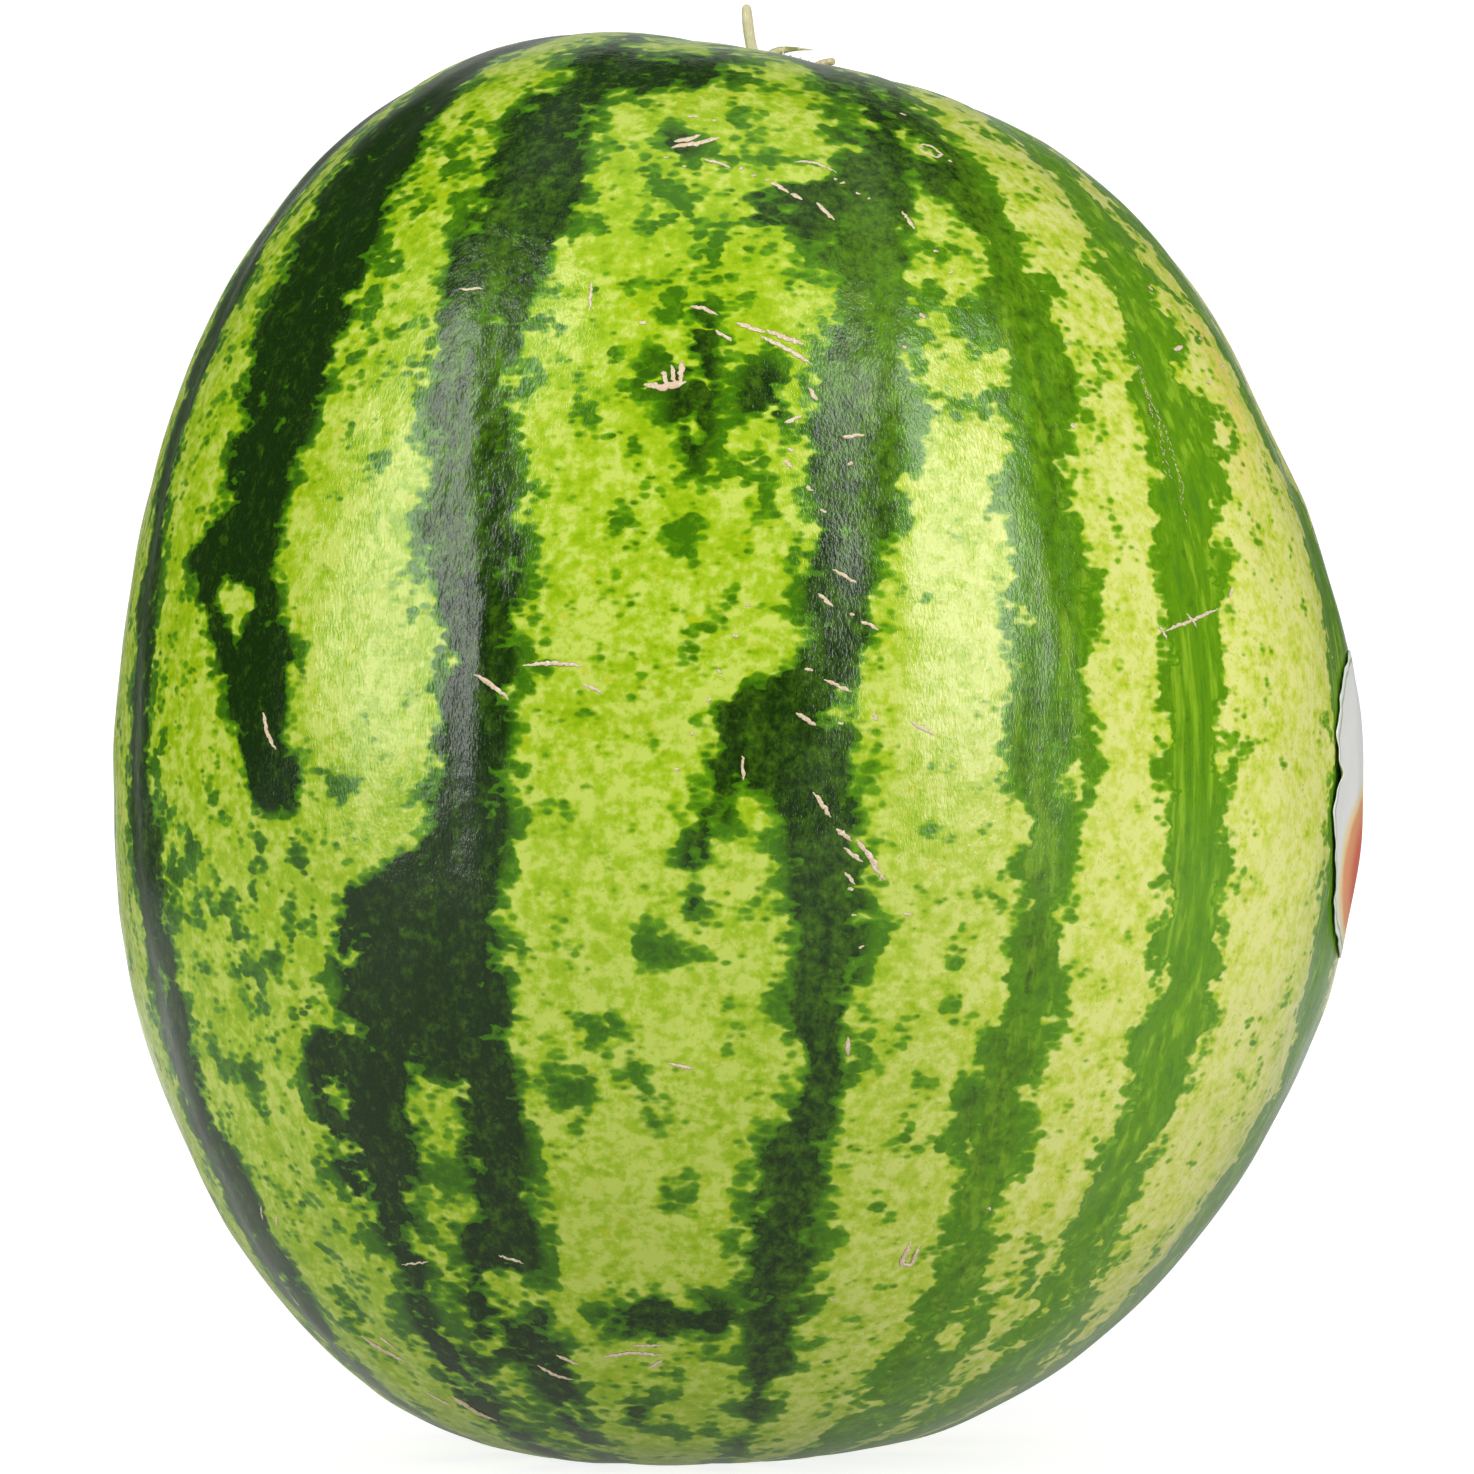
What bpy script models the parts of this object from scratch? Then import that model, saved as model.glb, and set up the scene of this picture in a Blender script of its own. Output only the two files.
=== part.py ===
"""Striped watermelon standing on its blossom end, with a torn dry stem and a round paper label.

Metres, +Z up. The origin lies on the resting plane, under the middle of the whole object's box.
Every place on the rind is given by a polar angle, 0 at the stem and pi at the blossom end, and
an azimuth, 0 towards +X and a quarter turn towards +Y.
"""

from collections import namedtuple
from math import cos, exp, pi, radians, sin, tau

import bmesh
import bpy
from mathutils import Vector
from mathutils.geometry import interpolate_bezier

Dent = namedtuple("Dent", "x y depth spread")
Swell = namedtuple("Swell", "polar azimuth height spread")
Strand = namedtuple("Strand", "route half_width half_depth taper")

# The rind is an egg whose two ends bow the same way.
GIRTH_RADIUS = 0.1261
HALF_LENGTH = 0.1498
SQUARENESS = 2.05
CROWN_BOW = -0.0114
BLOSSOM_BOW = -0.0101
STEM_PULL = Vector((0.131, 0.111, 0.0))

# Hollows pressed into the ends along Z: the sloping shoulder, the fold at its foot and the stem
# cavity, then the broad flattening of the blossom end and the dimple of its scar.
CROWN_DENTS = (
    Dent(0.0248, 0.0, 0.0091, 0.0310),
    Dent(0.0302, 0.0020, 0.0040, 0.0120),
    Dent(0.0195, 0.0165, 0.0042, 0.0100),
)
BLOSSOM_DENTS = (Dent(0.0040, 0.0, 0.0086, 0.0300), Dent(0.0, 0.0, 0.0022, 0.0060))

# Flat and full places on the flanks, in degrees and metres.
SWELLS = (
    Swell(62, 0, -0.0048, 14),
    Swell(68, 180, -0.0012, 14),
    Swell(112, 180, 0.0009, 12),
    Swell(70, 105, -0.0016, 18),
    Swell(115, 70, 0.0010, 16),
)

# Shallow furrows run from the stem to the blossom end, with a low lobe between each two.
FURROW_AZIMUTHS = (-161, -141, -115, -82, -66, -48, -20, 14, 50, 88, 124, 160)
FURROW_DEPTH = 0.0008
FURROW_SHARPNESS = 4
SEGMENTS_PER_LOBE = 6
RING_COUNT = 55
RING_CROWDING = 0.08

# The resting spot: everything lower than this above the lowest point is pressed flat.
REST_PRESS = 0.0014

# The dry stem: a corky stump with a torn rim, and the strands left standing in it.
SEAT_GAP = 0.0003
STUMP_SEAT_POLAR = radians(2.9)
STUMP_SIDES = 24
STUMP_SHARES = (1.04, 0.96, 0.72, 0.60, 0.57)
STUMP_HEIGHTS = (0.0012, 0.0026, 0.0040, 0.0056, 0.0074)
STUMP_HOLLOW = 0.0030
RIDGE_COUNT = 5
RIDGE_SHARE = 0.05
RIM_TEETH = 7
RIM_TOOTH_HEIGHT = 0.0011
STRAND_SIDES = 12
STRAND_STEPS = 12
# Routes are cubic curves, in metres from the middle of the stump's seat.
STRANDS = {
    "stalk": Strand(
        ((-0.0018, -0.0005, 0.0020), (-0.0065, -0.0008, 0.0060),
         (-0.0073, -0.0010, 0.0110), (-0.0085, -0.0010, 0.0200)),
        0.00130, 0.00115, 0.22,
    ),
    "sliver": Strand(
        ((-0.0010, 0.0005, 0.0025), (-0.0058, -0.0005, 0.0090),
         (-0.0052, -0.0012, 0.0128), (0.0056, -0.0015, 0.0104)),
        0.0010, 0.0022, 0.9,
    ),
    "stub": Strand(
        ((0.0020, -0.0003, 0.0025), (0.0030, -0.0006, 0.0060),
         (0.0055, -0.0008, 0.0078), (0.0097, -0.0010, 0.0082)),
        0.0008, 0.0011, 0.0,
    ),
}

# The paper label, stuck round the flank.
LABEL_AZIMUTH = radians(-8.0)
LABEL_HEIGHT = -0.0101
LABEL_RADIUS = 0.0320
LABEL_THICKNESS = 0.0004
LABEL_GAP = 0.00035
LABEL_SEGMENTS = 40
LABEL_RINGS = 7
LABEL_LIFT = 0.0011
LABEL_LIFT_START = 0.80
LABEL_RIM_WAVE = 0.0005


def clear_scene():
    for obj in list(bpy.data.objects):
        bpy.data.objects.remove(obj, do_unlink=True)


def material(name, color, roughness, metallic=0.0):
    made = bpy.data.materials.new(name)
    made.use_nodes = True
    shader = made.node_tree.nodes["Principled BSDF"]
    shader.inputs["Base Color"].default_value = (*color, 1.0)
    shader.inputs["Roughness"].default_value = roughness
    shader.inputs["Metallic"].default_value = metallic
    return made


def rind_material():
    return material("rind", (0.045, 0.16, 0.025), 0.42)


def stem_material():
    return material("dry_stem", (0.62, 0.52, 0.30), 0.85)


def label_material():
    return material("label_paper", (0.86, 0.85, 0.82), 0.55)


def direction(polar, azimuth):
    """Unit vector at these angles, with the grid's upper pole drawn over to the stem."""
    flat = Vector((sin(polar) * cos(azimuth), sin(polar) * sin(azimuth), cos(polar)))
    return (flat + STEM_PULL * ((1 + cos(polar)) / 2) ** 2).normalized()


def swell_height(way):
    """How far the flat and full places move the rind along a unit vector."""
    total = 0.0
    for swell in SWELLS:
        polar = radians(swell.polar)
        azimuth = radians(swell.azimuth)
        middle = Vector((sin(polar) * cos(azimuth), sin(polar) * sin(azimuth), cos(polar)))
        total += swell.height * exp((way.dot(middle) - 1) / radians(swell.spread) ** 2)
    return total


def dent_depth(dents, x, y):
    """Depth of one end's hollows at a point seen along the core line."""
    total = 0.0
    for dent in dents:
        distance_squared = (x - dent.x) ** 2 + (y - dent.y) ** 2
        total += dent.depth * exp(-distance_squared / (2 * dent.spread**2))
    return total


def skin_along(way, furrow=0.0):
    """Point of the rind along a unit vector from the fruit's middle."""
    across = abs(Vector(way.xy).length / GIRTH_RADIUS) ** SQUARENESS
    along = abs(way.z / HALF_LENGTH) ** SQUARENESS
    radius = (across + along) ** (-1 / SQUARENESS) + swell_height(way) - furrow
    point = way * radius
    bow = CROWN_BOW if point.z > 0 else BLOSSOM_BOW
    if point.z > 0:
        point.z -= dent_depth(CROWN_DENTS, point.x, point.y)
    else:
        point.z += dent_depth(BLOSSOM_DENTS, point.x, point.y)
    point.x += bow * (point.z / HALF_LENGTH) ** 2
    return point


def lobe_azimuths():
    """(azimuth, place across its lobe from 0 to 1) of each segment, each lobe cut alike."""
    ends = FURROW_AZIMUTHS[1:] + (FURROW_AZIMUTHS[0] + 360,)
    for start, end in zip(FURROW_AZIMUTHS, ends):
        for step in range(SEGMENTS_PER_LOBE):
            place = step / SEGMENTS_PER_LOBE
            yield radians(start + (end - start) * place), place


def ring_polars():
    """Polar angles of the rings, closer together at both ends than at the girth."""
    for ring in range(1, RING_COUNT + 1):
        share = ring / (RING_COUNT + 1)
        yield pi * (share - RING_CROWDING * sin(tau * share))


def closed_surface(name, first_pole, rings, last_pole):
    """Closed mesh from one end point over rings of equal length to the other end point."""
    mesh = bmesh.new()
    first = mesh.verts.new(first_pole)
    last = mesh.verts.new(last_pole)
    loops = [[mesh.verts.new(point) for point in ring] for ring in rings]
    count = len(loops[0])
    for i in range(count):
        after = (i + 1) % count
        mesh.faces.new((first, loops[0][i], loops[0][after]))
        mesh.faces.new((last, loops[-1][after], loops[-1][i]))
        for upper, lower in zip(loops, loops[1:]):
            mesh.faces.new((upper[i], lower[i], lower[after], upper[after]))
    bmesh.ops.recalc_face_normals(mesh, faces=mesh.faces)
    data = bpy.data.meshes.new(name)
    mesh.to_mesh(data)
    mesh.free()
    data.shade_smooth()
    return bpy.data.objects.new(name, data)


def fruit_body():
    """The whole fruit, one solid: lobed rind, stem cavity, scar dimple and flat resting spot."""
    rings = []
    for polar in ring_polars():
        depth = FURROW_DEPTH * sin(polar)
        ring = []
        for azimuth, place in lobe_azimuths():
            furrow = depth * abs(2 * place - 1) ** FURROW_SHARPNESS
            ring.append(skin_along(direction(polar, azimuth), furrow))
        rings.append(ring)
    top = skin_along(direction(0, 0))
    bottom = skin_along(direction(pi, 0))
    plane = min(point.z for ring in rings for point in ring) + REST_PRESS
    for ring in rings:
        for point in ring:
            point.z = max(point.z, plane)
    fruit = closed_surface("fruit_body", top, rings, bottom)
    fruit.data.materials.append(rind_material())
    bpy.context.scene.collection.objects.link(fruit)
    return fruit, plane


def stump(seat):
    """Corky stump that follows the cavity's floor, swells and ends in a torn, hollow rim."""
    azimuths = [tau * i / STUMP_SIDES for i in range(STUMP_SIDES)]
    floor = [skin_along(direction(STUMP_SEAT_POLAR, azimuth)) for azimuth in azimuths]
    quarter = STUMP_SIDES // 4
    up = (floor[0] - floor[2 * quarter]).cross(floor[quarter] - floor[3 * quarter]).normalized()
    seat = seat + up * SEAT_GAP
    floor = [point + up * SEAT_GAP for point in floor]
    rings = [floor]
    for share, height in zip(STUMP_SHARES, STUMP_HEIGHTS):
        torn = RIM_TOOTH_HEIGHT if height == STUMP_HEIGHTS[-1] else 0.0
        ring = []
        for azimuth, point in zip(azimuths, floor):
            side = (point - seat) * share * (1 + RIDGE_SHARE * sin(RIDGE_COUNT * azimuth))
            ring.append(seat + side + up * (height + torn * sin(RIM_TEETH * azimuth)))
        rings.append(ring)
    hollow = seat + up * (STUMP_HEIGHTS[-1] - STUMP_HOLLOW)
    return closed_surface("stump", seat, rings, hollow)


def strand(name, seat, shape):
    """Torn strand of oval section along a cubic curve, thinning towards its tip by its taper."""
    route = [seat + Vector(point) for point in shape.route]
    points = interpolate_bezier(*route, STRAND_STEPS)
    rings = []
    for i in range(1, STRAND_STEPS - 1):
        along = (points[i + 1] - points[i - 1]).normalized()
        side = along.cross(Vector((0, 1, 0))).normalized()
        share = i / (STRAND_STEPS - 1)
        width = shape.half_width * (1 - shape.taper * share**2)
        depth = shape.half_depth * (1 - shape.taper * share**2)
        ring = []
        for k in range(STRAND_SIDES):
            turn = tau * k / STRAND_SIDES
            over = side.cross(along)
            ring.append(points[i] + side * width * cos(turn) + over * depth * sin(turn))
        rings.append(ring)
    return closed_surface(name, points[0], rings, points[-1])


def stem():
    """The dry stem, one piece: its strands are fused to the stump that they tore from."""
    seat = skin_along(direction(0, 0))
    body = stump(seat)
    body.name = "stem"
    bpy.context.scene.collection.objects.link(body)
    strands = bpy.data.collections.new("strands")
    bpy.context.scene.collection.children.link(strands)
    for name, shape in STRANDS.items():
        strands.objects.link(strand(name, seat, shape))
    union = body.modifiers.new("fuse", "BOOLEAN")
    union.operation = "UNION"
    union.operand_type = "COLLECTION"
    union.collection = strands
    graph = bpy.context.evaluated_depsgraph_get()
    fused = bpy.data.meshes.new_from_object(body.evaluated_get(graph))
    body.modifiers.clear()
    body.data = fused
    fused.materials.clear()
    fused.materials.append(stem_material())
    fused.shade_smooth()
    for piece in list(strands.objects):
        bpy.data.objects.remove(piece, do_unlink=True)
    bpy.data.collections.remove(strands)
    return body


def label_point(share, turn, offset):
    """Point of the label at a share of its radius, this far outside the rind."""
    rim = share**2
    wave = LABEL_RIM_WAVE * rim * (sin(2 * turn + 0.6) + 0.5 * sin(7 * turn))
    reach = LABEL_RADIUS * share + wave
    azimuth = LABEL_AZIMUTH + reach * cos(turn) / GIRTH_RADIUS
    height = LABEL_HEIGHT + reach * sin(turn)
    way = Vector((cos(azimuth) * GIRTH_RADIUS, sin(azimuth) * GIRTH_RADIUS, height))
    lifted = max(0.0, (share - LABEL_LIFT_START) / (1 - LABEL_LIFT_START)) ** 2
    side = max(0.0, -cos(turn)) * (0.6 + 0.4 * sin(5 * turn))
    base = skin_along(way.normalized())
    outward = Vector((cos(azimuth), sin(azimuth), height / HALF_LENGTH)).normalized()
    return base + outward * (offset + LABEL_LIFT * lifted * side)


def paper_label():
    """Round paper label, bent to the flank, with a cut rim that waves and lifts on one side."""
    turns = [tau * i / LABEL_SEGMENTS for i in range(LABEL_SEGMENTS)]
    shares = [ring / LABEL_RINGS for ring in range(1, LABEL_RINGS + 1)]
    outer = LABEL_GAP + LABEL_THICKNESS
    rings = [[label_point(share, turn, outer) for turn in turns] for share in shares]
    rings += [[label_point(share, turn, LABEL_GAP) for turn in turns] for share in shares[::-1]]
    label = closed_surface(
        "paper_label", label_point(0, 0, outer), rings, label_point(0, 0, LABEL_GAP)
    )
    label.data.materials.append(label_material())
    bpy.context.scene.collection.objects.link(label)
    return label


def place_in_frame(objects, plane):
    """Moves the meshes so that the resting plane is z = 0 and their box is centred over it."""
    points = [vertex.co for obj in objects for vertex in obj.data.vertices]
    middle_x = (min(p.x for p in points) + max(p.x for p in points)) / 2
    middle_y = (min(p.y for p in points) + max(p.y for p in points)) / 2
    shift = Vector((-middle_x, -middle_y, -plane))
    for obj in objects:
        for vertex in obj.data.vertices:
            vertex.co += shift


def main():
    clear_scene()
    fruit, plane = fruit_body()
    place_in_frame((fruit, stem(), paper_label()), plane)


main()
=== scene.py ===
"""Dresses the striped watermelon: patterned rind, corky scars, dry stem and peeling paper label.

Places on the rind are (azimuth, polar) in degrees: azimuth 0 towards +X and 90 towards +Y, polar 0
at the stem and 180 at the blossom end, on a grid whose upper pole is drawn over to the stem.
"""

from math import pi, radians, tau

import bpy
import numpy as np
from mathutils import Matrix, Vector


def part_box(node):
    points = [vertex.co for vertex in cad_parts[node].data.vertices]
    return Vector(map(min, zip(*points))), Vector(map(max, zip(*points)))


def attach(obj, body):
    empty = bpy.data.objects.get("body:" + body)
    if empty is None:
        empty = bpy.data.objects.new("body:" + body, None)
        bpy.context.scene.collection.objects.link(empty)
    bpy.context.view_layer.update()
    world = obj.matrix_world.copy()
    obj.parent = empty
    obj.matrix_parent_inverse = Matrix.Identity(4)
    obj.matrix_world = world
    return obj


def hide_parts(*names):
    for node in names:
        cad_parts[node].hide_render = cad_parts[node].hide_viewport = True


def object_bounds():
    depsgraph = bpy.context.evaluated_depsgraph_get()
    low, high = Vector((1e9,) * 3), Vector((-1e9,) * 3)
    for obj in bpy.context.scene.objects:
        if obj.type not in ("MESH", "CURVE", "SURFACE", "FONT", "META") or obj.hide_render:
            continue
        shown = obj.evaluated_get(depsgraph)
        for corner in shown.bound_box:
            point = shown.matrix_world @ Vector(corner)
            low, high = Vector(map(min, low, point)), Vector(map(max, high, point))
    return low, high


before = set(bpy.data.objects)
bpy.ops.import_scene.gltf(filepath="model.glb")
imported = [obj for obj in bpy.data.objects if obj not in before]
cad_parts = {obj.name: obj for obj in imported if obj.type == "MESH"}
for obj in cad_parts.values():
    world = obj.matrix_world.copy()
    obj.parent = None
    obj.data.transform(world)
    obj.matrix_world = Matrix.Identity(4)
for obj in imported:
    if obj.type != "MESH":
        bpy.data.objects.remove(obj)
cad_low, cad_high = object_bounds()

# The rind's driving shape, the same as the solid's.
GIRTH_RADIUS = 0.1261
HALF_LENGTH = 0.1498
SQUARENESS = 2.05
CROWN_BOW = -0.0114
BLOSSOM_BOW = -0.0101
STEM_PULL = np.array((0.131, 0.111, 0.0))
# x, y, depth, spread
CROWN_DENTS = ((0.0248, 0, 0.0091, 0.031), (0.0302, 0.002, 0.004, 0.012), (0.0195, 0.0165, 0.0042, 0.01))
BLOSSOM_DENTS = ((0.004, 0.0, 0.0086, 0.03), (0.0, 0.0, 0.0022, 0.006))
# polar, azimuth, height, spread
SWELLS = (
    (62, 0, -0.0048, 14), (68, 180, -0.0012, 14), (112, 180, 0.0009, 12), (70, 105, -0.0016, 18),
    (115, 70, 0.001, 16),
)
FURROW_AZIMUTHS = (-161, -141, -115, -82, -66, -48, -20, 14, 50, 88, 124, 160)
FURROW_DEPTH = 0.0008
FURROW_SHARPNESS = 10

# Millimetres along the rind for a degree: of polar angle, and of azimuth at the girth.
MM_PER_POLAR = 2.6
MM_PER_AZIMUTH = 126 * radians(1)

# Finish of the skin that the solid leaves out.
PATCH_CELLS = 128
PATCH_UV_RANGE = (0.012, 0.988)
RIND_GLOSS = 0.38
STRIPE_SPREAD = 1.2
LOBE_SIZE = 0.003
DASH_SIZE = 0.0028
# Fine ridges where two flats of the skin meet, as rows of (polar, azimuth, height), in millimetres.
CREASES = (
    ((45, -122.7, 0), (55, -118.2, 0.2), (65, -116, 0.6), (80, -114, 0.7), (100, -113.3, 0.3),
     (120, -113.3, 0)),
    ((30, -69, 0), (50, -67.2, 0.6), (65, -66.4, 0.7), (80, -65.9, 0.6), (100, -65.5, 0.2),
     (120, -65.5, 0)),
)
CREASE_REACH = 3.5
CREASE_WANDER = 0.25
# Share of a ridge's height that fills the furrow beside it, and how far out.
CREASE_FILL = 1.2
CREASE_FILL_REACH = 8
# Waves of the skin: length and height in metres, and how many are summed.
RIPPLES = ((0.03, 0.00022, 26), (0.012, 0.00007, 40))

# Healed scratches: width in tenths of a millimetre, then (azimuth, polar) along the way.
SCARS = (
    (8, -102.6, 39.3, -101, 38.9, -99.8, 38.3), (9, -102.8, 40, -100.4, 39.4, -97.5, 38.4),
    (5, -101.9, 36.3, -100.5, 36.1), (5, -98.7, 36.5), (4, -103.2, 41.2), (4, -101, 41.8),
    (6, -99, 40.9, -97.4, 41.1, -96, 41.6), (5, -95, 41.7), (5, -93.5, 42.2), (4, -92, 42.5),
    (7, -91.5, 42.7, -89.5, 43.5), (8, -89.3, 43.6, -88, 44.1), (7, -86.5, 44.2, -84.7, 45.7),
    (5, -88.8, 40.2, -86.3, 40, -84, 40.6), (4, -84.3, 41.5), (4, -83.5, 41.8), (4, -82, 42.5),
    (4, -80.7, 43), (6, -77, 44, -76, 45.8), (5, -74.3, 47.8), (5, -73, 49.7), (7, -76.8, 53.7, -76.3, 54),
    (5, -78.8, 56.7),
    (5, -72.6, 36.2, -71.5, 35.6, -70, 35.8, -69.2, 36.5, -70.2, 37.1, -71.8, 36.8, -72.6, 36.2),
    (6, -68.7, 37.3), (5, -72.5, 31), (6, -98.6, 54.3, -97.4, 54.4, -96, 54.9),
    (5, -103, 55.9, -102.3, 55.9), (6, -96, 56.2, -94.5, 57), (7, -94.2, 55.5, -91.5, 56.2),
    (8, -91.5, 56, -88, 57), (7, -92, 56.5, -89.6, 57.4, -87.3, 58.6),
    (11, -101.9, 60.9, -100.2, 61.1, -98.2, 60.6), (7, -99.9, 60.9, -100.3, 59.7),
    (7, -99.2, 60.8, -99.6, 59.3), (8, -98.6, 60.7, -98.8, 58.9), (6, -87.5, 60.5, -86.8, 61.5),
    (6, -89.5, 63.5, -88, 62.8), (6, -84.5, 64.3, -82.5, 64.1), (5, -89.2, 65.5),
    (6, -89.5, 66.5, -88.8, 67), (5, -87.5, 68.5), (5, -86.2, 70.2), (5, -84, 66.5),
    (4, -107.9, 52.5, -107.7, 55), (4, -121, 53.5, -118.5, 53.4), (6, -62.2, 62.1, -61.8, 62.5),
    (6, -85, 75, -83, 76), (6, -86, 77, -85, 78), (5, -83.5, 78.5), (6, -82.5, 79, -81, 79.7),
    (7, -110, 82.8, -107.5, 82.6, -105, 82.8), (5, -105, 84.2, -103.3, 84.9),
    (8, -114, 83.5, -112.6, 84.3, -111, 85.5), (8, -135.5, 86.5, -135, 88.1, -134, 89.5), (4, -92, 78),
    (5, -93, 80.4), (4, -94.1, 83.2), (5, -94.8, 85.6), (4, -95.9, 88.2), (4, -97, 91),
    (5, -91.5, 90, -91.4, 92), (5, -87, 83, -86.3, 83.1), (6, -85.3, 83.8, -83, 84.8),
    (7, -87.5, 86.5, -85.8, 87.5), (5, -84, 87.3), (5, -81, 86.5, -80.8, 87.1), (6, -78, 87.2, -75.8, 88.3),
    (7, -85.5, 93, -84, 95), (8, -83.5, 96, -82, 97), (7, -82.6, 97.6, -81, 98.8),
    (8, -81.6, 96.9, -79.6, 99.2), (6, -80.4, 98.6, -79, 100.2), (6, -82.4, 99.6, -81.4, 100.6),
    (5, -82, 101), (4, -81.4, 103.2), (4, -80.5, 106), (5, -77, 103, -76.3, 103.1),
    (6, -96.3, 115.5, -94, 116), (6, -80.4, 113.5, -80.2, 115),
    (8, -69.5, 132, -69.6, 134.2, -68.3, 134.4, -68.2, 132.4), (5, -62, 129), (5, -76.5, 137.5),
    (8, -104, 144, -100, 143.4, -96, 143.7), (5, -100, 142.6, -96, 142.5), (6, -98, 145.3, -96, 144.3),
    (5, -115, 133.6, -112, 134.2), (4, -128, 134.8, -124, 134.3), (7, -110.5, 144, -107.5, 145),
    (7, -114, 145.5, -111.6, 146.6, -109, 147), (9, -144, 143.5, -141.4, 145.4, -138, 146.5),
    (8, -140, 143.5, -138, 145), (12, -133.5, 150.5, -131.2, 152.8, -128.5, 154),
    (7, -140, 150.3, -135.5, 152), (5, -151, 131.5, -149.5, 130), (5, -148, 132, -147, 131),
    (7, -53.5, 79.4, -50.2, 78.5, -46, 77.2), (5, -54, 79, -53.2, 80.1), (5, -50.4, 77.8, -49, 78.8),
    (6, -43.2, 47, -42.6, 47.3), (6, -41, 48.5), (8, -44, 53.5, -42, 53), (6, -37, 51.5), (6, -34, 54),
    (7, -39.7, 56, -39.1, 56.3), (6, -36.2, 57.5, -35.6, 57.8), (6, -44.3, 76.2, -43.8, 75.2),
)
SCAR_BREADTH = 1.5
SCAR_STEP = 0.45
SCAR_JITTER = 0.1
BACK_SCAR_GROUPS = 26
CRACK_WIDTH = 1.4
# The blossom-end disc, as (radius, height above the rind) in millimetres.
BUTTON_PROFILE = (
    (5.4, -0.6), (5.2, 0.05), (4.6, 0.4), (3.4, 0.55), (2.4, 0.3), (1.5, 0.25), (0.9, 0.8), (0.3, 1),
)
BUTTON_SIDES = 48
# Below these heights in millimetres, a scar and the disc are dark brown: partly their own brown rim, partly
# painted shade where they sink into the rind and in the disc's dip.
SCAR_CORE_HEIGHT = 0.1
BUTTON_CORE_HEIGHT = 0.3
# Cross-section of a scar: across in half widths, and height in millimetres.
SCAR_SECTION = (
    (-1, -0.15), (-0.85, 0.02), (-0.55, 0.2), (0, 0.26), (0.55, 0.2), (0.85, 0.02), (1, -0.15), (0, -0.35),
)

# The dry stem, on the solid's seat and profile.
STUMP_SEAT_POLAR = 2.9
STUMP_PROFILE = (
    (1.04, 0.0), (1.06, 0.0006), (1.04, 0.0012), (1.0, 0.0019), (0.95, 0.0026), (0.84, 0.0033),
    (0.73, 0.004), (0.65, 0.0048), (0.6, 0.0056), (0.58, 0.0065), (0.57, 0.0074),
)
STUMP_SIDES = 120
STUMP_HOLLOW = 0.003
SEAT_GAP = 0.0003
STRAND_SIDES = 24
STRAND_STEPS = 60
STEM_VOXEL = 0.00016
# Each strand's route in metres from the seat's middle, half width, half depth, taper and belly.
STRANDS = {
    "stalk": (
        ((-0.0018, -0.0005, 0.002), (-0.007, -0.0008, 0.006),
         (-0.008, -0.001, 0.011), (-0.0086, -0.001, 0.02)),
        0.00125, 0.0011, 0.2, 0.0,
    ),
    "sliver": (
        ((-0.001, 0.0005, 0.0025), (-0.0065, -0.0005, 0.0085),
         (-0.0048, -0.0012, 0.0116), (0.0056, -0.0015, 0.0104)),
        0.0009, 0.0022, 0.9, 0.45,
    ),
    "stub": (
        ((0.002, -0.0003, 0.0025), (0.003, -0.0006, 0.006),
         (0.0055, -0.0008, 0.0078), (0.0097, -0.001, 0.0082)),
        0.0008, 0.0011, 0.0, 0.0,
    ),
}

# The round paper label on the flank.
LABEL_AZIMUTH = radians(-8.0)
LABEL_HEIGHT = -0.0101
LABEL_RADIUS = 0.032
LABEL_PAPER = 0.00022
LABEL_GAP = 0.00012
LABEL_SEGMENTS = 240
LABEL_RINGS = 40
LABEL_LIFT_START = 0.8
LABEL_RIM_WAVE = 0.0005
LABEL_CREASE = 0.00004
# The field printed on it: middle from the label's own, and half sizes.
FIELD_ACROSS = 0.004
FIELD_UP = -0.013
FIELD_HALF_WIDTH = 0.0215
FIELD_HALF_HEIGHT = 0.0145
# The torn rim on the camera's side: (height, shift round the fruit, lift) in millimetres.
LABEL_RIM = (
    (-32, 0, 0.3), (-25, 2, 0.5), (-17, 4.6, 0.6), (-8, 2, 0.5), (-1, -0.4, 0.45), (3, -0.2, 0.7),
    (6.3, 1.2, 1.7), (9, -0.6, 0.9), (15, -3.6, 0.5), (22, -2.6, 0.5), (29, 0, 0.6), (32, 0, 0.4),
)

# The level camera: lens in millimetres, place in metres, height as a share of the fruit's.
CAMERA_LENS = 156.8
CAMERA_X = -0.0005
CAMERA_Y = -1.3
CAMERA_HEIGHT = 0.489

# Soft boxes: azimuth from the camera's side, elevation, distance, width, height, radiance.
SOFT_BOXES = {
    "key_right": (39, 24, 1.1, 0.27, 1.2, 10.0),
    "key_left": (-61, 24, 1.1, 0.31, 1.2, 7.7),
    "overhead": (0, 88, 1.2, 1.0, 0.8, 0.5),
    "fill_back": (180, 22, 1.5, 1.6, 0.9, 2.2),
}
AIMED_AT = Vector((0, 0, 0.14))
# Radiance of room, floor and backdrop, as light on the fruit and as the camera sees them.
ROOM_LIGHT = 0.04
ROOM_SEEN = 0.9
FLOOR_GLOW = 0.25
FLOOR_SEEN = 0.85
BACKDROP_GLOW = 0.8
# The sweep: the floor's front and back, the bend's radius and steps, top and half width.
SWEEP_FRONT = -2.2
SWEEP_BACK = 1.1
SWEEP_BEND = 0.6
SWEEP_STEPS = 20
SWEEP_TOP = 1.8
SWEEP_HALF_WIDTH = 2.4

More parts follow.
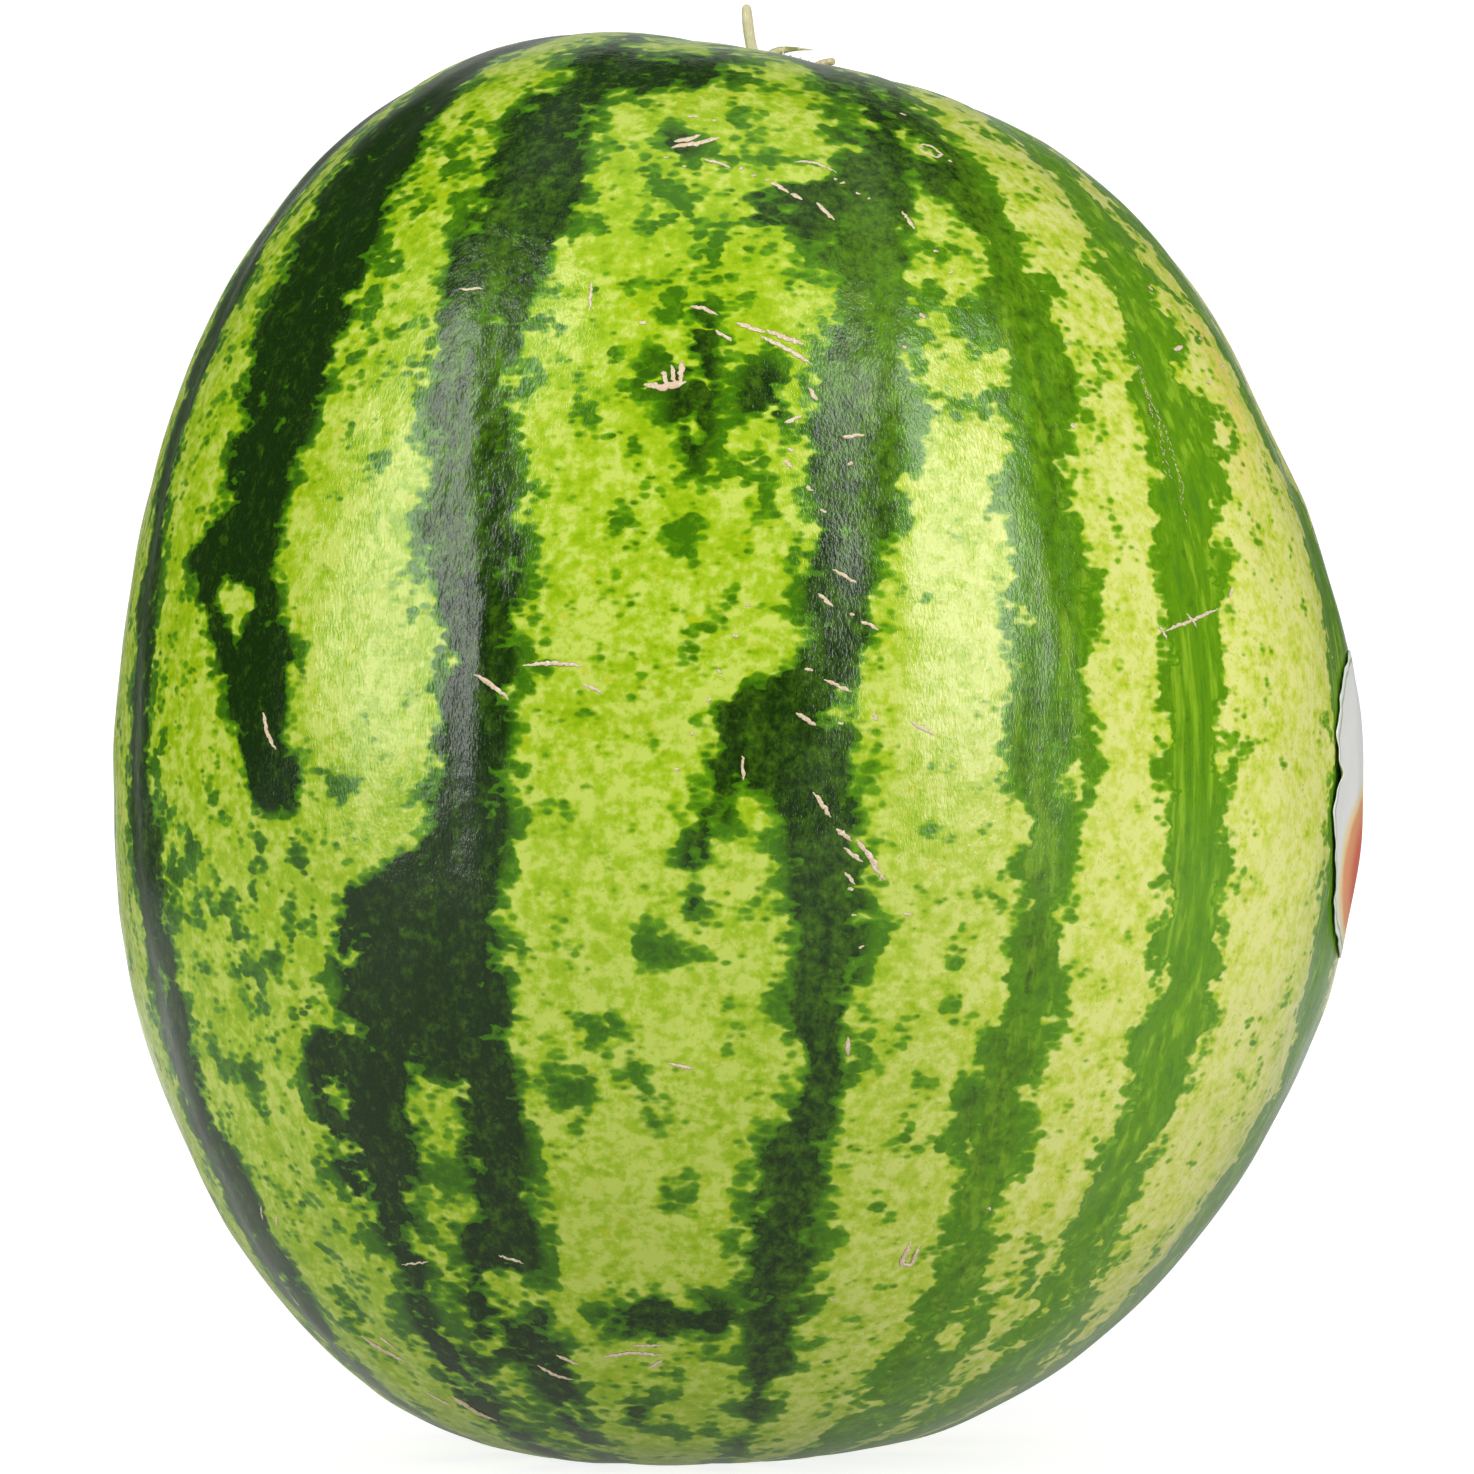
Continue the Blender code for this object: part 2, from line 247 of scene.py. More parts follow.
# The dark stripes, each as rows of (polar, left azimuth, right azimuth).
STRIPES = {
    "west": (
        (8, -172, -158), (40, -168, -156), (50, -165, -153.5), (60, -164, -155.5), (70, -163.5, -155.5),
        (78, -163, -154), (90, -163, -154), (97, -162.5, -152.5), (110, -162.5, -151.5),
        (120, -162, -152.5), (128, -162, -149), (137, -163, -149), (145, -163, -152), (172, -164, -152),
    ),
    "southwest": (
        (12, -152, -141), (30, -151, -137), (37, -150, -135), (42, -149.5, -132.5), (50, -147.5, -132.5),
        (57, -147, -132), (62, -146, -132.5), (70, -145, -135), (74, -149.5, -134.5), (78, -146, -134),
        (82, -143, -131.5), (88, -140.5, -132.5), (92, -139, -130), (95, -136, -131),
    ),
    "south": (
        (8, -124, -116), (20, -124, -117), (25, -124, -116.5), (28, -124, -113), (34, -124, -112.5),
        (38, -125.5, -112.5), (42, -124.5, -111), (46, -123, -110), (50, -124, -112), (60, -122, -113),
        (68, -121, -111.5), (75, -120.5, -110), (80, -117, -110), (90, -118, -110.5), (97, -120, -110),
        (100, -124.5, -111), (105, -129.5, -111), (110, -128, -110), (115, -134, -109.5), (125, -134, -109),
        (135, -129, -109), (140, -131, -108.5), (150, -133, -108), (172, -133, -108),
    ),
    "crown band": (
        (26, -117, -104), (27.5, -118, -97), (30, -120, -96), (31.5, -118, -98), (33, -116, -104),
        (34.5, -114, -110),
    ),
    "crown arm": ((8, -106, -97), (20, -105, -97), (26, -104, -96.5), (31, -104, -97)),
    "centre": (
        (8, -90, -76), (22, -89, -74), (26, -85.5, -72), (30, -84.5, -72), (38, -84, -72), (41.5, -85, -74),
        (43.5, -95, -75), (45, -97, -75.5), (46.5, -94, -76), (48, -88.5, -76), (50, -86.5, -76),
        (55, -86.5, -77), (60, -88.5, -77.5), (65, -88.5, -78), (70, -87, -79), (75, -88, -80.5),
        (80, -87.5, -81), (83, -89, -82), (86, -95, -83), (90, -95, -81.5), (92.5, -91.5, -81.3),
        (95, -88.5, -81), (100, -87.5, -80), (105, -87, -79.5), (110, -87, -79.5), (118, -85, -79.5),
        (122, -88, -79.5), (130, -88, -79.5), (135, -88, -79), (143, -86, -77.5), (150, -84.5, -78.5),
        (172, -86, -78),
    ),
    "centre branch": ((86, -95, -90), (95, -96, -92), (100, -96.5, -93), (103.5, -95.5, -94)),
    "southeast": (
        (8, -76, -62), (25, -76, -67), (30, -76, -66.5), (35, -76, -65), (40, -75, -63.5), (43, -73, -63),
        (46, -70.3, -62.5), (50, -70, -61.5), (58, -70, -60), (65, -70, -62.5), (70, -70, -63.5),
        (75, -69, -61), (82, -69.3, -62.5), (86, -70, -62), (90, -70, -60.5), (95, -66.5, -62),
        (100, -67.5, -61.5), (105, -66.5, -61.5), (110, -65.5, -60.5), (114, -67.5, -61.3), (120, -69, -61),
        (125, -66.5, -59.5), (130, -66, -59.5), (136, -64, -57.8), (140, -65, -53), (148, -64.5, -52),
        (172, -64, -53),
    ),
    "east": (
        (8, -56, -42), (35, -50, -39.5), (40, -49, -40), (45, -50.5, -41.5), (50, -51, -42),
        (57, -53.5, -42.5), (65, -53, -41), (70, -53.5, -44.5), (75, -54, -45), (85, -53.5, -46),
        (95, -53, -45), (100, -52, -42.5), (106, -51, -43), (110, -50, -42), (113, -52, -40.5),
        (120, -50, -41), (127, -50.5, -43), (133, -49, -39), (137, -48, -38), (141, -47, -33),
        (148, -47, -30), (172, -47, -31),
    ),
    "far east": (
        (8, -40, -16), (30, -36, -16), (45, -33, -18), (55, -31, -19), (60, -31, -19), (64, -26, -16),
        (70, -25, -12), (78, -24.5, -10), (90, -25, -12), (104, -25, -15), (110, -22, -13), (115, -19, -8),
        (120, -18, -6), (125, -22, -8), (132, -23, -9), (140, -25, -8), (150, -26, -10), (172, -28, -12),
    ),
}
# The far side's stripes, which the photo doesn't show: (middle azimuth, width).
BACK_STRIPES = ((14, 13), (50, 15), (88, 12), (124, 16), (160, 13))
BACK_WANDER = 2.0
BACK_RAGGED = 2.2
# A stripe that starts or ends within this many degrees of a pole runs on over it.
NEAR_POLE = 10
# How the depth inside the green grows from an edge, and its limit.
EDGE_SLOPE = 0.75
EDGE_GROWTH = 0.05
FIELD_LIMIT = 16

# Blots of green off the stripes: azimuth, polar, half width, half height.
DARK_BLOTS = (
    (-95.3, 29, 1.3, 3.2), (-95, 139.5, 9.5, 3), (-97.5, 61, 2.6, 8.5), (-101.5, 60, 1.6, 2.2),
    (-91.5, 61.5, 2.6, 3.5), (-102.5, 39.5, 3.3, 1.75), (-106, 117.5, 2.2, 2.6), (-97, 105.5, 2.1, 1.6),
    (-102, 113, 1.6, 1.1), (-99.3, 118, 0.9, 0.9), (-97.3, 120, 1.8, 1), (-94.5, 127, 0.9, 0.9),
    (-99.5, 152, 4.6, 2.2), (-129.5, 92.5, 2.6, 1.2), (-138, 98, 1.6, 1.5), (-147, 97.5, 1.3, 1.1),
    (-151, 102, 2, 2.4), (-142.5, 102, 1.4, 1.2), (-131.5, 98.5, 1.2, 1.2), (-140, 107, 2, 2),
    (-135, 107.5, 1.3, 1.3), (-144, 117.5, 2, 1), (-139, 130, 1.3, 1.2), (-142, 141, 1.3, 1.3),
    (-126, 102, 2.1, 2.1), (-71.5, 54, 1, 1.5),
)
# Blots up to this half size in millimetres stay mid green at the middle.
SMALL_BLOT = 4.4
SMALL_BLOT_DEPTH = 0.4
LIGHT_BLOTS = (
    (-130.5, 27.5, 6.5, 5.5), (-109.5, 22.5, 5.5, 3.5), (-89.5, 29.5, 4.5, 4.5), (-90, 150, 4.5, 5),
    (-82, 32.5, 1, 1.5), (-71, 36.4, 1.4, 0.8), (-96, 161, 14, 4), (-140.2, 78, 1.4, 1.3),
    (-62.7, 92, 1, 1.2), (-57, 142.5, 1.2, 1.8), (-115, 137, 1.3, 1.2), (-110.5, 137, 1, 1.1),
    (-118.7, 121, 1.5, 3), (-119.2, 126.5, 2.2, 3), (-121.8, 133, 1.9, 3.8), (-123.6, 139.5, 1.6, 3.2),
    (-119.5, 157, 4, 9),
)


def wrapped(degrees):
    return (degrees + 180) % 360 - 180


def unit(vectors):
    return vectors / np.linalg.norm(vectors, axis=-1, keepdims=True)


def direction(polar, azimuth):
    """Unit vectors at these angles in degrees."""
    polar, azimuth = np.radians(polar), np.radians(azimuth)
    sideways = np.sin(polar)
    return np.stack((sideways * np.cos(azimuth), sideways * np.sin(azimuth), np.cos(polar)), axis=-1)


def full_turn(count):
    """Evenly spaced angles round a circle, in radians."""
    return np.linspace(0, tau, count, endpoint=False)


def grid_angles(flat):
    """The (polar, azimuth) of unit vectors, in degrees."""
    polar = np.degrees(np.arccos(np.clip(flat[..., 2], -1, 1)))
    return polar, np.degrees(np.arctan2(flat[..., 1], flat[..., 0]))


def pole_pull(flat):
    return STEM_PULL * (((1 + flat[..., 2]) / 2) ** 2)[..., None]


def pulled(flat):
    """Grid vectors: the same ones with the upper pole drawn over to the stem."""
    return unit(flat + pole_pull(flat))


def unpulled(way):
    """Grid vectors before that pull, near enough for the rind's gentle relief."""
    flat = way
    for _ in range(3):
        flat = unit(way - pole_pull(flat))
    return flat


def dent_depth(dents, x, y):
    return sum(
        depth * np.exp(-((x - at_x) ** 2 + (y - at_y) ** 2) / (2 * spread**2))
        for at_x, at_y, depth, spread in dents
    )


def furrow_depth(polar, azimuth):
    """How deep the furrows cut, in metres."""
    starts = np.array(FURROW_AZIMUTHS + (FURROW_AZIMUTHS[0] + 360,), float)
    turned = (azimuth - starts[0]) % 360 + starts[0]
    lobe = np.clip(np.searchsorted(starts, turned, side="right") - 1, 0, len(starts) - 2)
    place = (turned - starts[lobe]) / (starts[lobe + 1] - starts[lobe])
    return FURROW_DEPTH * np.sin(np.radians(polar)) * np.cos(pi * place) ** FURROW_SHARPNESS


def crease_height(polar, azimuth):
    """Height in metres of the fine ridges, which also fill the furrow that they run along."""
    total = 0.0
    for rows in CREASES:
        at, route, height = np.array(rows).T
        line = np.interp(polar, at, route) + CREASE_WANDER * np.sin(polar / 4)
        off = np.abs(wrapped(azimuth - line)) * per_degree(polar)
        shape = np.exp(-off / CREASE_REACH) + CREASE_FILL * np.exp(-((off / CREASE_FILL_REACH) ** 2))
        total = total + np.interp(polar, at, height, left=0.0, right=0.0) * shape
    return total / 1000


def skin_along(way, lift=0.0):
    """Points of the rind along unit vectors from the fruit's middle, raised by a lift."""
    across = (np.hypot(way[..., 0], way[..., 1]) / GIRTH_RADIUS) ** SQUARENESS
    along = np.abs(way[..., 2] / HALF_LENGTH) ** SQUARENESS
    radius = (across + along) ** (-1 / SQUARENESS) + lift
    for polar, azimuth, height, spread in SWELLS:
        radius = radius + height * np.exp((way @ direction(polar, azimuth) - 1) / radians(spread) ** 2)
    x, y, z = np.moveaxis(way * radius[..., None], -1, 0)
    crown = z > 0
    z = z + np.where(crown, -dent_depth(CROWN_DENTS, x, y), dent_depth(BLOSSOM_DENTS, x, y))
    x = x + np.where(crown, CROWN_BOW, BLOSSOM_BOW) * (z / HALF_LENGTH) ** 2
    return np.stack((x, y, z), axis=-1)


def ripple(points, wavelength, count, seed):
    """Smooth random field, about -1 to 1: a sum of plane waves of about this wavelength."""
    draw = np.random.default_rng(seed)
    total = np.zeros(points.shape[:-1])
    for _ in range(count):
        way = draw.normal(size=3)
        way *= tau / (wavelength * draw.uniform(0.75, 1.4)) / np.linalg.norm(way)
        total += np.sin(points @ way + draw.uniform(0, tau))
    return total / np.sqrt(count)


def relief(flat):
    """Height of furrows, fine ridges and waves at vectors before the pull."""
    polar, azimuth = grid_angles(flat)
    lift = crease_height(polar, azimuth) - furrow_depth(polar, azimuth)
    for seed, (wavelength, height, count) in enumerate(RIPPLES):
        lift += height * ripple(flat * GIRTH_RADIUS, wavelength, count, seed)
    return lift


def finished_skin(flat, lift=0.0):
    """Points of the finished rind at vectors before the pull, raised by a lift."""
    return skin_along(pulled(flat), relief(flat) + lift)


def patch_directions():
    """Six square patches that cover the sphere: (directions, faces, corner UVs), edges shared."""
    side = PATCH_CELLS + 1
    turn = np.tan(np.linspace(-pi / 4, pi / 4, side))
    a, b = np.meshgrid(turn, turn, indexing="ij")
    one = np.ones_like(a)
    sides = ((one, a, b), (-one, -a, b), (-a, one, b), (a, -one, b), (-b, a, one), (b, a, -one))
    corner = np.arange(side * side).reshape(side, side)
    cells = np.stack((corner[:-1, :-1], corner[1:, :-1], corner[1:, 1:], corner[:-1, 1:]), axis=-1)
    cells = cells.reshape(-1, 4)
    share = np.linspace(*PATCH_UV_RANGE, side)
    u, v = np.meshgrid(share, share, indexing="ij")
    patch = np.arange(6)[:, None, None]
    uvs = np.stack(((u + patch % 3) / 3, (v + patch // 3) / 2), axis=-1).reshape(-1, 2)
    faces = (cells + patch * side * side).reshape(-1, 4)
    points = unit(np.moveaxis(np.array(sides), 1, -1).reshape(-1, 3))
    _, first, index = np.unique(np.round(points, 6), axis=0, return_index=True, return_inverse=True)
    return points[first], index.reshape(-1)[faces], uvs[faces]


def stripe_inside(rows, polar, azimuth):
    """Millimetres inside a stripe, negative outside it."""
    at, left, right = np.array(rows, float).T
    edge_left = np.interp(polar, at, left)
    edge_right = np.interp(polar, at, right)
    off = wrapped(azimuth - (edge_left + edge_right) / 2)
    inside = ((edge_right - edge_left) / 2 - np.abs(off)) * per_degree(polar)
    if at[0] > NEAR_POLE:
        inside = np.minimum(inside, (polar - at[0]) * MM_PER_POLAR)
    if at[-1] < 180 - NEAR_POLE:
        inside = np.minimum(inside, (at[-1] - polar) * MM_PER_POLAR)
    return inside


def per_degree(polar):
    """Millimetres along one degree of azimuth."""
    return MM_PER_AZIMUTH * np.sin(np.radians(polar))


def spot_place(spot, polar, azimuth):
    """Where places lie in an oval (azimuth, polar, half width, half height), as shares of it."""
    at_azimuth, at_polar, half_width, half_height = spot
    return wrapped(azimuth - at_azimuth) / half_width, (polar - at_polar) / half_height


def blot_inside(blot, polar, azimuth):
    """Millimetres inside an oval blot, negative outside it."""
    _, at_polar, half_width, half_height = blot
    size = min(half_width * per_degree(at_polar), half_height * MM_PER_POLAR)
    inside = (1 - np.hypot(*spot_place(blot, polar, azimuth))) * size
    return inside if size > SMALL_BLOT else np.minimum(inside, SMALL_BLOT_DEPTH)


def back_stripe(middle, width, seed):
    """Rows of a stripe on the far side, its edges wandering from a seeded draw."""
    polar = np.arange(8, 173, 6)
    ragged = np.random.default_rng(seed).uniform(-BACK_RAGGED, BACK_RAGGED, (len(polar), 2)).T
    line = middle + BACK_WANDER * np.sin(polar / 17 + middle)
    return np.stack((polar, line - width / 2 + ragged[0], line + width / 2 + ragged[1]), axis=-1)


def stripe_field(polar, azimuth):
    """Depth inside the dark green: about millimetres near an edge, negative in the pale bands."""
    back = [back_stripe(middle, width, seed) for seed, (middle, width) in enumerate(BACK_STRIPES)]
    dark = [stripe_inside(rows, polar, azimuth) for rows in (*STRIPES.values(), *back)]
    dark += [blot_inside(blot, polar, azimuth) for blot in DARK_BLOTS]
    light = [-blot_inside(blot, polar, azimuth) for blot in LIGHT_BLOTS]
    field = np.minimum(np.max(dark, axis=0), np.min(light, axis=0))
    grown = EDGE_SLOPE * np.abs(field) + EDGE_GROWTH * field**2
    return np.clip(np.sign(field) * grown, -FIELD_LIMIT, FIELD_LIMIT)


def patches(polar, azimuth, spots):
    """Soft-edged sum of (azimuth, polar, half width, half height, amount) spots."""
    total = np.zeros(len(polar))
    for *spot, amount in spots:
        across, along = spot_place(spot, polar, azimuth)
        total += amount * np.exp(-(across**2) - along**2)
    return total


# How mottled the skin is everywhere, and where it is more or less so.
MOTTLE_ALL_OVER = 0.35
MOTTLE_SPOTS = (
    (-152, 75, 6, 40, 0.25), (-130, 50, 5, 14, 0.35), (-142, 110, 10, 18, 0.2), (-98, 50, 11, 24, 0.6),
    (-98, 35, 14, 7, -0.35), (-74, 52, 5, 8, 0.3), (-57, 36, 7, 14, 0.25), (-75, 112, 6, 12, 0.25),
    (-98, 150, 14, 8, 0.3), (-128, 82, 5, 12, -0.3), (-98, 95, 9, 12, -0.15), (-98, 124, 9, 14, -0.3),
    (-74, 78, 5, 14, -0.3), (-35, 95, 9, 30, -0.2), (-57, 90, 5, 26, -0.15), (-44, 139, 10, 8, 0.55),
    (-128, 144, 9, 9, 0.45), (-152, 140, 9, 12, 0.35), (-62, 146, 10, 7, 0.35), (-129, 106, 5, 8, 0.5),
    (-131, 126, 5, 10, 0.3), (-95, 17, 40, 7, 0.25), (-40, 45, 7, 8, 0.5), (-70, 25, 12, 10, 0.25),
)
BLUSH_SPOTS = ((-35, 54, 2, 7, 0.65), (-38, 62, 2, 6, 0.3), (-12, 113, 4, 7, 0.7))
# How dimpled the skin is everywhere, and where it is most, beside the fine ridges.
RUMPLE_ALL_OVER = 0.1
RUMPLE_SPOTS = ((-118, 72, 9, 26, 0.45), (-74, 62, 9, 24, 0.35), (-100, 25, 30, 10, 0.25))
# Where the dark green is paler; a negative amount makes it deeper. The three pale spots lie where the soft
# boxes' highlights fall: partly the rind's own paler green, partly painted highlight.
PALE_AND_HIGHLIGHT_SPOTS = (
    (-118, 60, 6, 18, 0.3), (-82, 54, 6, 14, 0.3), (-68, 66, 2.5, 18, 0.15), (-72, 35, 9, 12, -0.22),
)
# How deep the dark green is, and how yellow the pale green, at azimuths all round.
DEPTH_TURN = (
    (-180, 0.85), (-160, 0.85), (-140, 1), (-116, 0.92), (-84, 0.8), (-65, 0.4), (-48, 0.08), (-22, 0.12),
    (14, 0.45), (50, 0.7), (88, 0.85), (124, 0.75), (160, 0.85), (180, 0.85),
)
SUN_TURN = (
    (-180, 0.1), (-150, 0), (-85, 0.1), (-58, 0.75), (-35, 1), (-10, 0.9), (40, 0.4), (100, 0.1),
    (180, 0.1),
)


def round_turn(azimuth, turn):
    return np.interp(azimuth, *np.array(turn, float).T)


def put_in(name, data):
    """A new object with this data, put in the scene."""
    made = bpy.data.objects.new(name, data)
    bpy.context.scene.collection.objects.link(made)
    return made


def mesh_piece(name, points, faces, material):
    """A piece in the scene. Points below the floor are raised to it."""
    data = bpy.data.meshes.new(name)
    points = np.maximum(points, (-np.inf, -np.inf, 0.0))
    data.from_pydata(points.tolist(), [], [tuple(face) for face in faces])
    data.validate()
    data.shade_smooth()
    data.materials.append(material)
    return put_in(name, data)


def set_attributes(piece, **attributes):
    for name, values in attributes.items():
        attribute = piece.data.attributes.new(name, "FLOAT", "POINT")
        attribute.data.foreach_set("value", np.asarray(values, np.float32))


class Graph:
    """A material's shader nodes, added and linked in one call each."""

    def __init__(self, name):
        self.material = bpy.data.materials.new(name)
        self.material.use_nodes = True
        self.tree = self.material.node_tree
        self.shader = self.tree.nodes["Principled BSDF"]
        self.place = self.add("TexCoord").outputs["Object"]

    def add(self, kind, inputs=None, **settings):
        node = self.tree.nodes.new("ShaderNode" + kind)
        for key, value in settings.items():
            setattr(node, key, value)
        for key, value in (inputs or {}).items():
            self.feed(node.inputs[key], value)
        return node

    def feed(self, socket, value):
        if isinstance(value, bpy.types.NodeSocket):
            self.tree.links.new(value, socket)
        else:
            socket.default_value = value

    def surface(self, name, value):
        self.feed(self.shader.inputs[name], value)

    def math(self, operation, *values):
        return self.add("Math", dict(enumerate(values)), operation=operation).outputs[0]

    def times(self, first, second):
        return self.math("MULTIPLY", first, second)

    def scaled(self, value, by, plus):
        return self.math("MULTIPLY_ADD", value, by, plus)

    def stretched(self, vector, z):
        """The same places, drawn out lengthwise where z is below 1."""
        return self.add("Mapping", {"Vector": vector, "Scale": (1.0, 1.0, z)}).outputs[0]

    def noise(self, vector, size, detail=0.0, roughness=0.5):
        inputs = {"Vector": vector, "Scale": 1 / size, "Detail": detail, "Roughness": roughness}
        return self.add("TexNoise", inputs).outputs["Fac"]

    def lobes(self, vector, size):
        """Half at the middle of each rounded cell, falling through 0 towards its edge."""
        node = self.add("TexVoronoi", {"Vector": vector, "Scale": 1 / size}, feature="F1")
        return self.math("SUBTRACT", 0.5, node.outputs["Distance"])

    def bent(self, vector, size, reach):
        """The same places, each pushed about by a smooth noise of this size and reach."""
        noise = self.add("TexNoise", {"Vector": vector, "Scale": 1 / size, "Detail": 1.0})
        inputs = {0: noise.outputs["Color"], 1: (0.5, 0.5, 0.5)}
        push = self.add("VectorMath", inputs, operation="SUBTRACT")
        inputs = {0: push.outputs[0], 1: (4 * reach,) * 3, 2: vector}
        return self.add("VectorMath", inputs, operation="MULTIPLY_ADD").outputs[0]

    def attribute(self, name):
        return self.add("Attribute", attribute_name=name).outputs["Fac"]

    def ramp(self, value, low, high, top=1.0):
        """0 on low's side, top on high's side, and a smooth change between."""
        inputs = {"Value": value, "From Min": low, "From Max": high, "To Max": top}
        return self.add("MapRange", inputs, interpolation_type="SMOOTHSTEP").outputs["Result"]

    def mix(self, share, first, second):
        """Blend of two colours, each a socket or an 8-bit display colour."""
        first, second = (srgb(c) if isinstance(c, tuple) else c for c in (first, second))
        return self.add("Mix", {0: share, 6: first, 7: second}, data_type="RGBA").outputs[2]

    def bump(self, height, distance, strength=1.0, normal=None):
        inputs = {"Height": height, "Distance": distance, "Strength": strength}
        if normal is not None:
            inputs["Normal"] = normal
        return self.add("Bump", inputs).outputs[0]


def srgb(color):
    """Linear RGBA of an 8-bit display colour."""
    share = [c / 255 for c in color]
    return (*(c / 12.92 if c <= 0.04045 else ((c + 0.055) / 1.055) ** 2.4 for c in share), 1.0)


def pale_green(g, softer, dashes, green):
    """The pale bands: cloudy, dotted, tinged with ochre, yellow and blushed on the sunny side."""
    sun = g.attribute("sun")
    ground = g.scaled(g.attribute("mottle"), 0.14, -0.25)
    ground = g.scaled(g.noise(g.place, 0.0062, 4.0, 0.66), 0.75, ground)
    ground = g.scaled(softer, 0.65, ground)
    ground = g.scaled(dashes, 0.08, ground)
    ground = g.math("ADD", ground, g.ramp(green, -2.5, -0.2, 0.06))
    color = g.mix(sun, (195, 215, 88), (231, 233, 142))
    color = g.mix(g.ramp(ground, 0.39, 0.57), color, g.mix(sun, (160, 194, 18), (214, 223, 96)))
    color = g.mix(g.ramp(ground, 0.54, 0.72), color, g.mix(sun, (138, 178, 4), (176, 204, 34)))
    color = g.mix(g.ramp(g.noise(g.place, 0.0009, 1.0), 0.66, 0.74, 0.3), color, (124, 154, 6))
    color = g.mix(g.ramp(g.noise(g.place, 0.0034, 3.0, 0.65), 0.6, 0.72, 0.55), color, (190, 196, 16))
    return g.mix(g.times(g.attribute("blush"), g.ramp(ground, 0.62, 0.42)), color, (240, 196, 78))


def middle_green(g, depth, softer, mass, fleck):
    """The islands and the fringe of the stripes."""
    fringe = g.mix(depth, (122, 174, 26), (98, 152, 8))
    inner = g.mix(depth, (92, 146, 14), (58, 110, 3))
    color = g.mix(g.ramp(g.scaled(softer, 5.0, mass), 2.2, 4.6), fringe, inner)
    return g.mix(g.ramp(fleck, 0.48, 0.66, 0.5), color, fringe)


def dark_green(g, depth, fleck, streak, grain):
    """The heart of the stripes, threaded lengthwise where the green is shallow: faded round the yellow
    side, and partly painted highlight in the spots under the soft boxes.
    """
    deep = g.math("ADD", g.scaled(streak, 0.8, 0.13), g.scaled(fleck, -1.1, depth))
    color = g.mix(g.ramp(deep, 0.0, 1.0), (100, 152, 16), (20, 47, 4))
    thread = g.noise(g.stretched(g.place, 0.09), 0.003, 4.0, 0.6)
    # Threads show where the green is shallow, which includes the painted-highlight spots.
    faded_and_highlit = g.ramp(depth, 0.7, 0.1)
    color = g.mix(g.times(g.ramp(thread, 0.5, 0.66, 0.6), faded_and_highlit), color, (158, 200, 46))
    color = g.mix(g.times(g.ramp(thread, 0.46, 0.34, 0.5), faded_and_highlit), color, (66, 122, 30))
    # Fine grey-green grain on the dark green: partly the skin's own grain, partly painted sheen.
    return g.mix(g.ramp(grain, 0.5, 0.75, 0.12), color, (80, 118, 46))


def rind_material():
    """Waxy striped skin, steered by the attributes that rind() sets."""
    g = Graph("rind")
    mottle = g.attribute("mottle")
    depth = g.attribute("depth")
    softer = g.noise(g.place, 0.0022, 3.0, 0.6)
    streak = g.noise(g.stretched(g.place, 0.3), 0.004, 4.0, 0.65)
    grain = g.noise(g.stretched(g.place, 0.5), 0.00055, 2.0, 0.6)

    # The green gathers in rounded lobes, cut at the edge into short level dashes.
    bent = g.bent(g.place, 0.0034, 0.0004)
    fleck = g.noise(bent, 0.0022, 3.0, 0.7)
    dashes = g.lobes(g.stretched(g.place, 2.0), DASH_SIZE)
    drift = g.scaled(g.noise(bent, 0.0072, 1.3, 0.5), 21.0, -10.7)
    drift = g.scaled(dashes, 5.5, drift)
    roam = g.scaled(mottle, 0.85, 0.5)
    field = g.math("MINIMUM", g.attribute("field"), g.scaled(mottle, -6.0, 8.0))
    field = g.math("MAXIMUM", field, g.scaled(mottle, 3.4, -4.9))
    spread = g.math("ADD", field, STRIPE_SPREAD)
    green = g.scaled(g.scaled(g.lobes(bent, LOBE_SIZE), 5.5, drift), roam, spread)
    mass = g.scaled(drift, roam, spread)

    middle = middle_green(g, depth, softer, mass, fleck)
    color = g.mix(g.ramp(green, -1.0, 0.9), pale_green(g, softer, dashes, green), middle)
    thick = g.times(g.ramp(g.scaled(fleck, 6.0, mass), 5.2, 6.2), g.ramp(field, -1.0, 2.0))
    g.surface("Base Color", g.mix(thick, color, dark_green(g, depth, fleck, streak, grain)))
    g.surface("Specular IOR Level", RIND_GLOSS)
    g.surface("Roughness", g.scaled(grain, 0.12, 0.13))
    pores = g.bump(grain, 0.00011, 0.9)
    dimples = g.bump(g.noise(g.place, 0.005, 2.0, 0.5), 0.001, g.attribute("rumple"), pores)
    g.surface("Normal", g.bump(streak, 0.0004, 0.16, dimples))
    return g.material


def rind(shift, material):
    """The whole rind, its pattern and finish steered by six values at each point."""
    flat, faces, uvs = patch_directions()
    polar, azimuth = grid_angles(flat)
    piece = mesh_piece("rind", finished_skin(flat) + shift, faces, material)
    layer = piece.data.uv_layers.new(name="OFBake")
    layer.data.foreach_set("uv", uvs.reshape(-1).astype(np.float32))
    set_attributes(
        piece,
        field=stripe_field(polar, azimuth),
        mottle=np.clip(MOTTLE_ALL_OVER + patches(polar, azimuth, MOTTLE_SPOTS), 0, 1),
        # The depth is lowered in the spots under the highlights: partly paler rind, partly painted
        # highlight.
        depth=round_turn(azimuth, DEPTH_TURN) - patches(polar, azimuth, PALE_AND_HIGHLIGHT_SPOTS),
        sun=round_turn(azimuth, SUN_TURN),
        blush=patches(polar, azimuth, BLUSH_SPOTS),
        rumple=np.clip(RUMPLE_ALL_OVER + patches(polar, azimuth, RUMPLE_SPOTS), 0, 1),
    )
    return piece


def capped(rings):
    """The rings between the middles of the first and the last."""
    return rings[0].mean(axis=0), rings, rings[-1].mean(axis=0)


